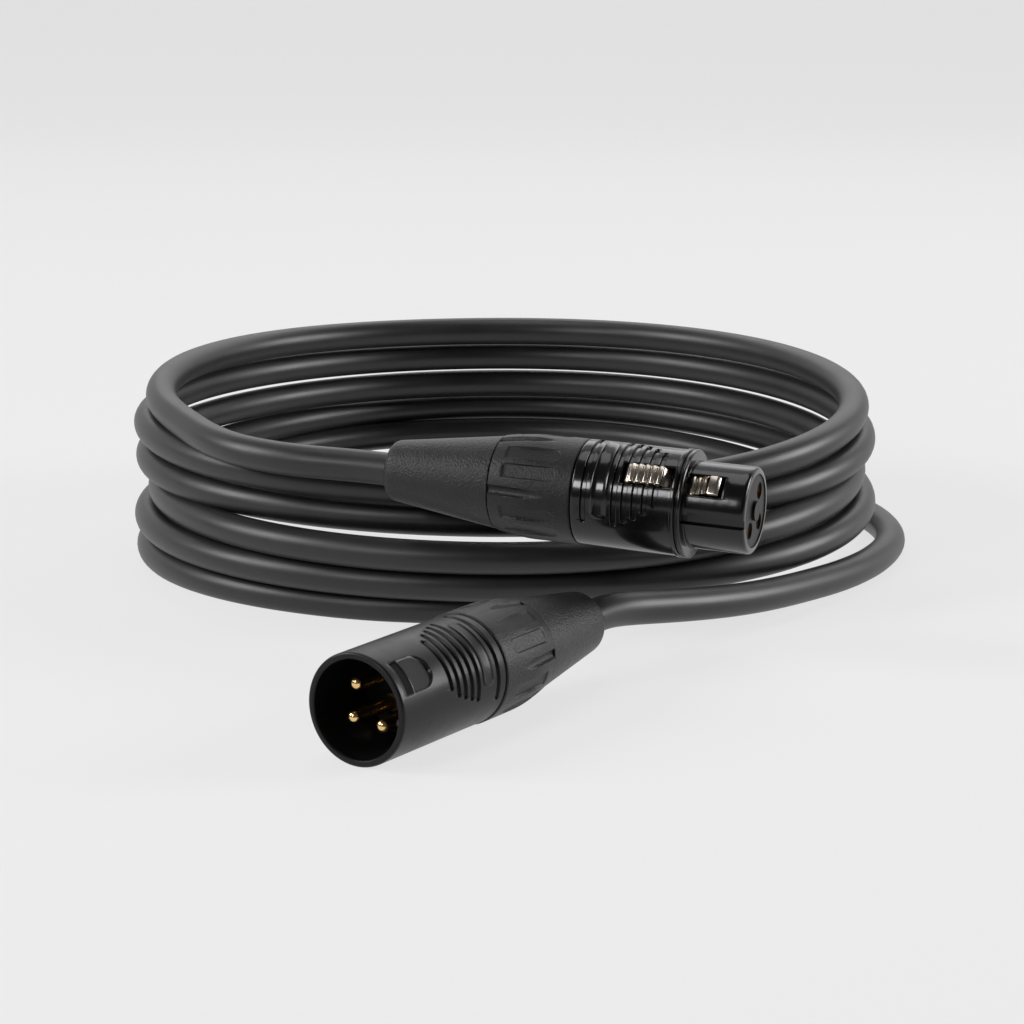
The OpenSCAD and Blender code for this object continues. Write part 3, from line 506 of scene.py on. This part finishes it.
def lacquered(name, color, roughness, peel_depth, reflection, coat):
    """Stoved lacquer on metal: a dark base of the given reflection under a thin clear coat, with
    faint orange peel, cloudy haze from handling and a few dust specks."""
    material, tree, shader = finish_nodes(name, color, roughness)
    shader.inputs["Specular IOR Level"].default_value = reflection
    shader.inputs["Coat Weight"].default_value = coat
    shader.inputs["Coat Roughness"].default_value = 0.1
    peel = texture(tree, "ShaderNodeTexNoise", 700.0, Detail=2.0)
    haze = texture(tree, "ShaderNodeTexNoise", 140.0, Detail=5.0, Roughness=0.65)
    speck = texture(tree, "ShaderNodeTexVoronoi", 900.0)
    tree.links.new(ramp(tree, haze.outputs["Fac"], color, tuple(2.0 * v for v in color), 0.35, 0.75),
                   shader.inputs["Base Color"])
    tree.links.new(spread(tree, haze.outputs["Fac"], roughness * 0.6, roughness * 1.5),
                   shader.inputs["Roughness"])
    first = bump(tree, shader, peel.outputs["Fac"], 0.5, peel_depth)
    bump(tree, shader, speck.outputs["Distance"], 0.08, peel_depth * 0.5, first)
    return material


gloss_finish = lacquered("gloss_lacquer", (0.003, 0.003, 0.0032), 0.2, 0.00004, 0.25, 0.35)
satin_finish = lacquered("satin_lacquer", (0.004, 0.004, 0.0042), 0.36, 0.00003, 0.22, 0.05)
base_angle = np.concatenate([np.linspace(-66, 66, 177), np.linspace(69, 291, 75)])
groove_centres = [back_groove_x, *(first_groove_x + groove_step * np.arange(5))]
female_grooves = list(zip(groove_centres, [60, 61, 56, 51, 44, 35]))
outline = rounded(np.array([
    [shell_start, 6.72, 0], [shell_start + 0.02, 7.5, 0.25], [38.28, 7.5, 0.1], [38.32, 9.7, 0.4],
    [57.0, 9.7, 0.08], [57.03, 9.9, 0.12], [57.72, 9.9, 0.2], [57.9, 9.4, 0.12], [58.1, 9.4, 0.12],
    [58.28, 9.9, 0.2], [59.0, 9.9, 0.35], [59.04, 7.95, 0.15], [70.27, 7.95, 0.75], [70.3, 6.72, 0]]),
    6, closed=False)
label_stations = np.array([39.3, 42.05, 42.15, 42.25, 42.4, 42.6, 43.2, 44.2, 44.8,
                           45.0, 45.15, 45.25, 45.35])
x = stations(outline, groove_stations(groove_centres), label_stations, np.array([slot_from - 0.25,
             slot_from - 0.15, slot_from - 0.06, slot_from, 51, 53, 55.3, 56, 56.6, window_to,
             window_to + 0.06, window_to + 0.15, window_to + 0.25, 67, 68.5]), np.linspace(60, 65.5, 7))
whole = np.interp(x, outline[:, 0], outline[:, 1])[:, None]
outer_angle = opened(base_angle[None], np.maximum(whole, 7.5), slot_half, slot_angle)
bore = np.where(x < 39.3, 6.7, 6.75)[:, None] + 0.12 * smooth_step((x[:, None] - 70.15) / 0.15)
inner_angle = opened(base_angle[None], bore, slot_half, slot_angle)
outer_r = grooved(whole + 0 * outer_angle, x[:, None], outer_angle, female_grooves, 54)
from_key = np.radians(outer_angle - key_angle)
key_floor = 7.1 / np.cos(from_key)
in_key = (smooth_step(0.5 - (np.abs(outer_r * from_key) - 0.8) / 0.2)
          * smooth_step((x[:, None] - 59.05) / 0.1))
key_r = outer_r + (np.minimum(key_floor, outer_r) - outer_r) * in_key
outer_r = np.where(x[:, None] > window_from, key_r, outer_r)
beside = np.abs(np.radians(outer_angle) * whole) - slot_half
for start, stop in ((slot_from, slot_to), (window_from, window_to)):
    along = np.maximum(start - x, x - stop)[:, None]
    away = np.hypot(np.maximum(beside, 0), np.maximum(along, 0))
    outer_r = outer_r - 0.12 * smooth_step(1 - away / 0.28) * (whole > 7.9) * (along < 0.3)
under_lip = (x[:, None] > 56.9) & (x[:, None] < 59.04) & (np.abs(base_angle) < 13.6)[None]
inner_r = np.where(under_lip, 8.2 / np.cos(np.radians(inner_angle)), bore + 0 * inner_angle)
lip_angle = opened(base_angle[None], 8.45 + 0 * bore, slot_half, slot_angle)
inner_angle = np.where(under_lip, lip_angle, inner_angle)
middle = ((x[1:] + x[:-1]) / 2)[:, None]
open_x = ((middle > slot_from) & (middle < slot_to)) | ((middle > window_from) & (middle < window_to))
cell_angle = base_angle + np.where(np.abs(base_angle) < 66, 0.375, 1.5)
kept = ~(open_x & (np.abs(cell_angle) < slot_angle)[None])
skin("female_cast_shell", *sleeve(in_female, x, outer_r, outer_angle, inner_r, inner_angle, kept),
     "cable", "shell", gloss_finish, "female_shell")

# ---- Male shell ----
# The same casting idea as a plain barrel in satin lacquer: rounded rim, catch window and a sunk
# bare panel, with the same rear groove, label pad and five grooves.
# A key rib runs along the inside of its open cavity, round the three pins.
catch_half, catch_from, catch_to, catch_angle = 3.0, 64.2, 65.7, 19.5
panel_from, panel_to, panel_floor, panel_reach_deg = 60.7, 63.6, 8.9, 60
rib_from, rib_to, rib_r, rib_reach = 53.9, 66.85, 7.3, 0.4
male_grooves = list(zip(groove_centres, [60, 52.5, 49, 44.5, 39.5, 30.5]))
outline = rounded(np.array([
    [shell_start, 6.72, 0], [shell_start + 0.02, 7.5, 0.25], [38.28, 7.5, 0.1], [38.32, 9.5, 0.4],
    [67.78, 9.5, 0.55], [67.8, 8.55, 0]]), 8, closed=False)
panel_x = np.concatenate([np.linspace(57.5, 60.7, 26), np.linspace(61, 63.3, 6),
                          [63.45, 63.52, 63.58, 63.64, 63.72, 63.85, 64.0, 64.1, 64.15, 64.2,
                           65.7, 65.75, 65.8, 65.95]])
x = stations(outline, groove_stations(groove_centres), panel_x, label_stations, np.array([
    50.79, 50.82, 53.85, 53.95, 54.05, 54.15, 56, 66.6, 66.7, 66.8, 66.9, 67.55, 67.65]))
whole = np.interp(x, outline[:, 0], outline[:, 1])[:, None]
outer_angle = opened(base_angle[None], np.maximum(whole, 7.5), catch_half, catch_angle)
inside = np.interp(x, [0, 39.3, 39.31, 50.79, 50.82, 67.5, 67.65, 67.8],
                   [6.7, 6.7, 6.75, 6.75, 8.3, 8.3, 8.36, 8.52])[:, None]
inner_angle = opened(base_angle[None], inside, catch_half, catch_angle)
outer_r = grooved(whole + 0 * outer_angle, x[:, None], outer_angle, male_grooves, 40)
across = outer_r * np.sin(np.radians(outer_angle))
before = np.maximum(panel_from - x[:, None], 0)
outline_d = np.maximum(np.hypot(before, np.abs(across)) - catch_half, x[:, None] - panel_to)
near_panel = np.abs(outer_angle) < panel_reach_deg
outline_d = np.where(near_panel, outline_d, 9)
flat = panel_floor / np.cos(np.radians(np.clip(outer_angle, -panel_reach_deg, panel_reach_deg)))
sunk = smooth_step(0.5 - outline_d / 0.2)
outer_r = outer_r + (np.minimum(flat, outer_r) - outer_r) * sunk
away = np.hypot(np.maximum(np.abs(across) - catch_half, 0),
                np.maximum(np.maximum(catch_from - x, x - catch_to), 0)[:, None])
outer_r = np.where(near_panel, outer_r - 0.1 * smooth_step(1 - away / 0.24), outer_r)
from_rib = np.radians(inner_angle + key_angle)
rib = (smooth_step(0.5 - (np.abs(inside * np.sin(from_rib)) - 0.6) / 0.2) * (np.abs(from_rib) < rib_reach)
       * smooth_step((x[:, None] - rib_from) / 0.2) * smooth_step((rib_to - x[:, None]) / 0.2))
inner_r = inside + (rib_r / np.cos(np.clip(from_rib, -rib_reach, rib_reach)) - inside) * rib
middle = ((x[1:] + x[:-1]) / 2)[:, None]
kept = ~((middle > catch_from) & (middle < catch_to) & (np.abs(cell_angle) < catch_angle)[None])
skin("male_cast_shell", *sleeve(in_male, x, outer_r, outer_angle, inner_r, inner_angle, kept),
     "cable", "shell", satin_finish, "male_shell")

# ---- Inserts ----
# Black glass-filled plastic blocks that hold the contacts and fill the shells.
# The female one fills its nose, with three openings and a low round boss on its face.
insert_finish = grained("insert_plastic", (0.006, 0.006, 0.0063), (0.01, 0.01, 0.0103), 0.35, 0.5,
                        4200.0, 0.00003, 0.2)
for side in ("female", "male"):
    dress(f"{side}_insert", insert_finish)

# ---- Pins ----
# Three turned brass pins, gold plated, with domed tips and solder cups behind the insert.
# They are pressed into the male insert and stand free in the cavity.
pin_circle_r, pin_r, root_r = 4.1, 1.2, 1.5


def plated(name, color, deep, rough_low, rough_high, line_scale):
    """Plated or polished metal: slow colour drift, cloudy gloss and very fine handling lines."""
    material, tree, shader = finish_nodes(name, color, rough_low, 1.0)
    drift = texture(tree, "ShaderNodeTexNoise", 300.0, Detail=4.0)
    lines = texture(tree, "ShaderNodeTexNoise", line_scale, Detail=4.0, Roughness=0.7)
    tree.links.new(ramp(tree, drift.outputs["Fac"], deep, color, 0.3, 0.62), shader.inputs["Base Color"])
    tree.links.new(spread(tree, lines.outputs["Fac"], rough_low, rough_high), shader.inputs["Roughness"])
    bump(tree, shader, lines.outputs["Fac"], 0.25, 0.00001)
    return material


gold_finish = plated("gold_plating", (0.93, 0.66, 0.32), (0.8, 0.52, 0.22), 0.12, 0.26, 3500.0)
tip = np.linspace(0, np.pi / 2, 12)
pin_x = np.concatenate([[46.4, 46.4, 43.55, 43.4, 43.4, 43.5, 53.3, 53.4, 53.42, 53.5],
                        np.linspace(54, 63.4, 6), 63.7 + 1.1 * np.sin(tip)])
pin_profile = np.concatenate([[0, 0.95, 0.95, 1.05, 1.4, root_r, root_r, root_r - 0.03, pin_r + 0.02, pin_r],
                              np.full(6, pin_r), pin_r * np.cos(tip)])
for number, (y, z) in enumerate(((pin_circle_r, 0), (-pin_circle_r, 0), (0, -pin_circle_r)), 1):
    skin(f"male_plated_pin_{number}",
         *turned(lambda p: in_male(p + np.array([0, y, z])), pin_x, pin_profile, 48, closed=False),
         "cable", "contact", gold_finish, f"male_pin_{number}")

# ---- Socket contacts ----
# Turned sleeves with a spring collar, plated like the pins, deep inside the female insert.
# Each has a solder cup for its lead at the back.
for number in (1, 2, 3):
    dress(f"female_contact_{number}", gold_finish)

# ---- Latch lever ----
# A stamped and ground steel rocker in bright nickel: ridged thumb tab, arm under the lip, and a
# small ridged pad with the catching tooth in the window. It rocks on a pin in the insert.
tab_start, tab_stop, arm_low, lever_half, lever_edge = 47.9, 56.3, 4.2, 1.8, 0.12
pivot_place = (48.5, 0.0, 4.8)
tab_ridge = 48.4 + 1.3 * np.arange(5)[::-1, None] + np.array([1.26, 0.62, 0.36, 0.08])
tab_points = np.stack([tab_ridge, np.tile([10.2, 10.2, 9.8, 9.8], (5, 1)),
                       np.tile([0.13, 0.13, 0.1, 0.1], (5, 1))], 2).reshape(-1, 3)
pad_ridge = 59.4 + 1.0333 * np.arange(3)[::-1, None] + np.array([1.0, 0.5, 0.26, 0.06])
pad_points = np.stack([pad_ridge, np.tile([7.5, 7.5, 7.12, 7.12], (3, 1)),
                       np.tile([0.1, 0.1, 0.08, 0.08], (3, 1))], 2).reshape(-1, 3)
lever_outline = rounded(np.concatenate([
    np.array([[47.0, arm_low, 0.3], [65.2, arm_low, 0.3], [65.2, 8.1, 0.2], [64.7, 8.6, 0.2],
              [63.2, 8.6, 0.15], [63.2, 6.4, 0.2], [62.5, 6.4, 0.2]]), pad_points,
    np.array([[59.4, 5.4, 0.2], [tab_stop, 5.4, 0.2], [tab_stop, 8.4, 0.3], [54.95, 9.8, 0.3]]), tab_points,
    np.array([[tab_start, 9.3, 0.25], [tab_start, 5.4, 0.2], [47.0, 5.4, 0.3]])]), 5)


def plate(place, outline, half_width, edge):
    """Points and faces of a plate cut along an (x, z) outline: five outlines across its width, the
    outer ones drawn in along the outline's own normals so that the edge is rounded."""
    ahead = np.roll(outline, -1, 0) - np.roll(outline, 1, 0)
    normal = np.stack([ahead[:, 1], -ahead[:, 0]], 1) / np.linalg.norm(ahead, axis=1)[:, None]
    y = np.array([-half_width, -half_width + 0.3 * edge, -half_width + edge,
                  half_width - edge, half_width - 0.3 * edge, half_width])
    draw = edge * np.array([1, 0.3, 0, 0, 0.3, 1])
    flat = outline[None] - draw[:, None, None] * normal[None]
    n, m = len(y), len(outline)
    verts = np.stack([flat[..., 0], np.repeat(y[:, None], m, 1), flat[..., 1]], 2).reshape(-1, 3)
    i, j = np.meshgrid(np.arange(n - 1), np.arange(m), indexing="ij")
    i, j = i.ravel(), j.ravel()
    on = (j + 1) % m
    faces = np.stack([i * m + j, i * m + on, (i + 1) * m + on, (i + 1) * m + j], 1)[:, ::-1].tolist()
    return place(verts), faces + [np.arange(m).tolist(), ((n - 1) * m + np.arange(m)[::-1]).tolist()]


nickel_finish = plated("bright_nickel", (0.64, 0.58, 0.51), (0.38, 0.33, 0.28), 0.14, 0.32, 2600.0)
skin("latch_rocker", *plate(in_female, lever_outline, lever_half, lever_edge),
     "latch", "latch", nickel_finish, "latch_lever")
pivot_profile = rounded(np.array([[-3, 0.8, 0.1], [3, 0.8, 0.1], [3, 0.01, 0.005], [-3, 0.01, 0.005]]), 4)


def on_pivot(points):
    """Points of a body turned about X, laid crosswise on the lever's pivot."""
    return in_female(np.stack([-points[:, 1], points[:, 0], points[:, 2]], 1) + pivot_place)


skin("latch_pivot_pin", *turned(on_pivot, pivot_profile[:, 0], pivot_profile[:, 1], 32),
     "latch", "latch", nickel_finish, "latch_lever")

# ---- Latch spring ----
# A small compression spring of steel wire that stands in a well under the lever.
# It pushes the thumb tab out until the tooth is pressed down by a mating connector.
spring_x, spring_coil_r, spring_low, spring_high = 54, 1.225, -0.5, 3.74
spring_turns, wire_radius = 5, 0.175
turns_of_wire = np.linspace(0, spring_turns, 161)
wire_turn = 2 * np.pi * turns_of_wire
climbed = (spring_high - spring_low - 2 * wire_radius) * turns_of_wire / spring_turns
wire = np.stack([spring_x + spring_coil_r * np.cos(wire_turn), spring_coil_r * np.sin(wire_turn),
                 spring_low + wire_radius + climbed], 1)
spring = tube("latch_coil_spring", in_female(wire), wire_radius * MM, 12)
spring_finish = plated("spring_steel", (0.55, 0.53, 0.5), (0.42, 0.4, 0.38), 0.22, 0.4, 4000.0)
spring.data.materials.append(spring_finish)
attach(spring, "cable")
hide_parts("latch_spring")

# ---- Leads ----
# Two insulated cores and the twisted bare shield fan out from the jacket to the solder cups.
# Each is soldered in its cup, so none of them is a free cord.


def insulation(name, dark, light):
    """Soft extruded insulation: slight colour drift and a very fine grain."""
    return grained(name, dark, light, 0.35, 0.5, 2500.0, 0.00002)


red_finish = insulation("red_core", (0.42, 0.03, 0.025), (0.5, 0.045, 0.035))
white_finish = insulation("white_core", (0.68, 0.66, 0.6), (0.78, 0.76, 0.7))
copper_finish = plated("bare_copper", (0.85, 0.5, 0.33), (0.66, 0.33, 0.2), 0.25, 0.45, 1500.0)
cup_circle_r, core_circle_r, core_r = 4.1, 1.3, 0.68
for side, place, bend_x, end_x, hot in (("female", in_female, 45.1, 50.05, cup_circle_r),
                                        ("male", in_male, 42.9, 46.35, -cup_circle_r)):
    for name, finish, slot_name, node, (y, z) in (
            ("core_lead_2", red_finish, "core", "core_leads", (hot, 0.0)),
            ("core_lead_3", white_finish, "core", "core_leads", (0.0, -cup_circle_r)),
            ("shield_braid", copper_finish, "shield", "shield_lead", (-hot, 0.0))):
        near = core_circle_r / cup_circle_r
        knots = np.array([[37.35, y * near, z * near], [38.0, y * near, z * near],
                          [bend_x - 0.7, y, z], [bend_x + 0.7, y, z], [end_x, y, z]])
        lead = tube(f"{side}_{name}", place(smooth_line(knots, 0.25)), core_r * MM, 16)
        lead.data.materials.append(finish)
        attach(lead, "cable")
        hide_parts(f"{side}_{node}")

# ---- Ground strips ----
# Thin spring strips under each insert that join the shell to the plug's earth.
# They lie flat in a slot between the insert and the shell.
strip_finish = plated("strip_metal", (0.7, 0.67, 0.6), (0.55, 0.51, 0.45), 0.2, 0.35, 2200.0)
for side in ("female", "male"):
    dress(f"{side}_ground_strip", strip_finish)

# ---- Floor, backdrop and lights ----
# A plain pale sweep and soft lamps: a large one at each side, a small one in front, and weak
# ones overhead and behind.
rise = np.linspace(0, np.pi / 2, 25)
sweep_r, sweep_y, half_width = 1.2, 1.0, 4.0
bend = np.stack([sweep_y + sweep_r * np.sin(rise), sweep_r - sweep_r * np.cos(rise)], 1)
sweep = np.concatenate([[[-3.0, 0.0]], bend, [[sweep_y + sweep_r, 4.0]]])
sweep_verts = np.concatenate([np.insert(sweep, 0, -half_width, axis=1),
                              np.insert(sweep, 0, half_width, axis=1)])
n = len(sweep)
k = np.arange(n - 1)
floor_mesh = bpy.data.meshes.new("floor")
floor_mesh.from_pydata(sweep_verts.tolist(), [], np.stack([k, k + n, k + n + 1, k + 1], 1).tolist())
floor_mesh.shade_smooth()
floor = bpy.data.objects.new("floor", floor_mesh)
bpy.context.scene.collection.objects.link(floor)
# Seen straight or mirrored, the floor is mostly its own pale tone, and the rest shows the shadow.
floor_finish, tree, shader = finish_nodes("studio_floor", (0.8, 0.8, 0.8), 0.9)
glow = tree.nodes.new("ShaderNodeEmission")
glow.inputs["Color"].default_value = (0.87, 0.87, 0.88, 1.0)
rays = tree.nodes.new("ShaderNodeLightPath")
mirrored = tree.nodes.new("ShaderNodeMath")
mirrored.operation = "MAXIMUM"
tree.links.new(rays.outputs["Is Glossy Ray"], mirrored.inputs[0])
tree.links.new(rays.outputs["Is Transmission Ray"], mirrored.inputs[1])
direct = tree.nodes.new("ShaderNodeMath")
direct.operation = "MAXIMUM"
tree.links.new(rays.outputs["Is Camera Ray"], direct.inputs[0])
tree.links.new(mirrored.outputs["Value"], direct.inputs[1])
seen = tree.nodes.new("ShaderNodeMath")
seen.operation = "MULTIPLY"
seen.inputs[1].default_value = 0.8
tree.links.new(direct.outputs["Value"], seen.inputs[0])
paper = tree.nodes.new("ShaderNodeMixShader")
tree.links.new(seen.outputs["Value"], paper.inputs["Fac"])
tree.links.new(shader.outputs["BSDF"], paper.inputs[1])
tree.links.new(glow.outputs["Emission"], paper.inputs[2])
tree.links.new(paper.outputs["Shader"], tree.nodes["Material Output"].inputs["Surface"])
floor_mesh.materials.append(floor_finish)


def lamp(name, place, target, size, watts, tint=(1.0, 1.0, 1.0)):
    """A rectangular area light at a place, facing a target point."""
    data = bpy.data.lights.new(name, "AREA")
    data.shape = "RECTANGLE"
    data.size, data.size_y = size
    data.energy = watts
    data.color = tint
    light = bpy.data.objects.new(name, data)
    light.location = place
    look = np.array(target, float) - np.array(place, float)
    light.rotation_euler = (math.atan2(math.hypot(look[0], look[1]), -look[2]), 0.0,
                            math.atan2(look[1], look[0]) - math.pi / 2)
    bpy.context.scene.collection.objects.link(light)


lamp("left", (-1.1, -0.12, 0.62), (0, 0, 0.01), (0.5, 0.45), 9)
lamp("right", (1.15, 0.1, 0.42), (0, 0, 0.01), (0.5, 0.5), 10)
lamp("front", (-0.68, -0.85, 0.55), (0, 0, 0.01), (0.2, 0.25), 3)
lamp("top", (-0.1, 0.15, 1.1), (0, 0, 0), (0.6, 0.5), 2)
lamp("back", (0.1, 0.85, 0.6), (0, 0, 0), (1.1, 0.4), 2)
world = bpy.data.worlds.new("studio")
bpy.context.scene.world = world
world.use_nodes = True
world.node_tree.nodes["Background"].inputs["Color"].default_value = (1.0, 1.0, 1.0, 1.0)
world.node_tree.nodes["Background"].inputs["Strength"].default_value = 0.07
bpy.context.scene.view_settings.view_transform = "Standard"
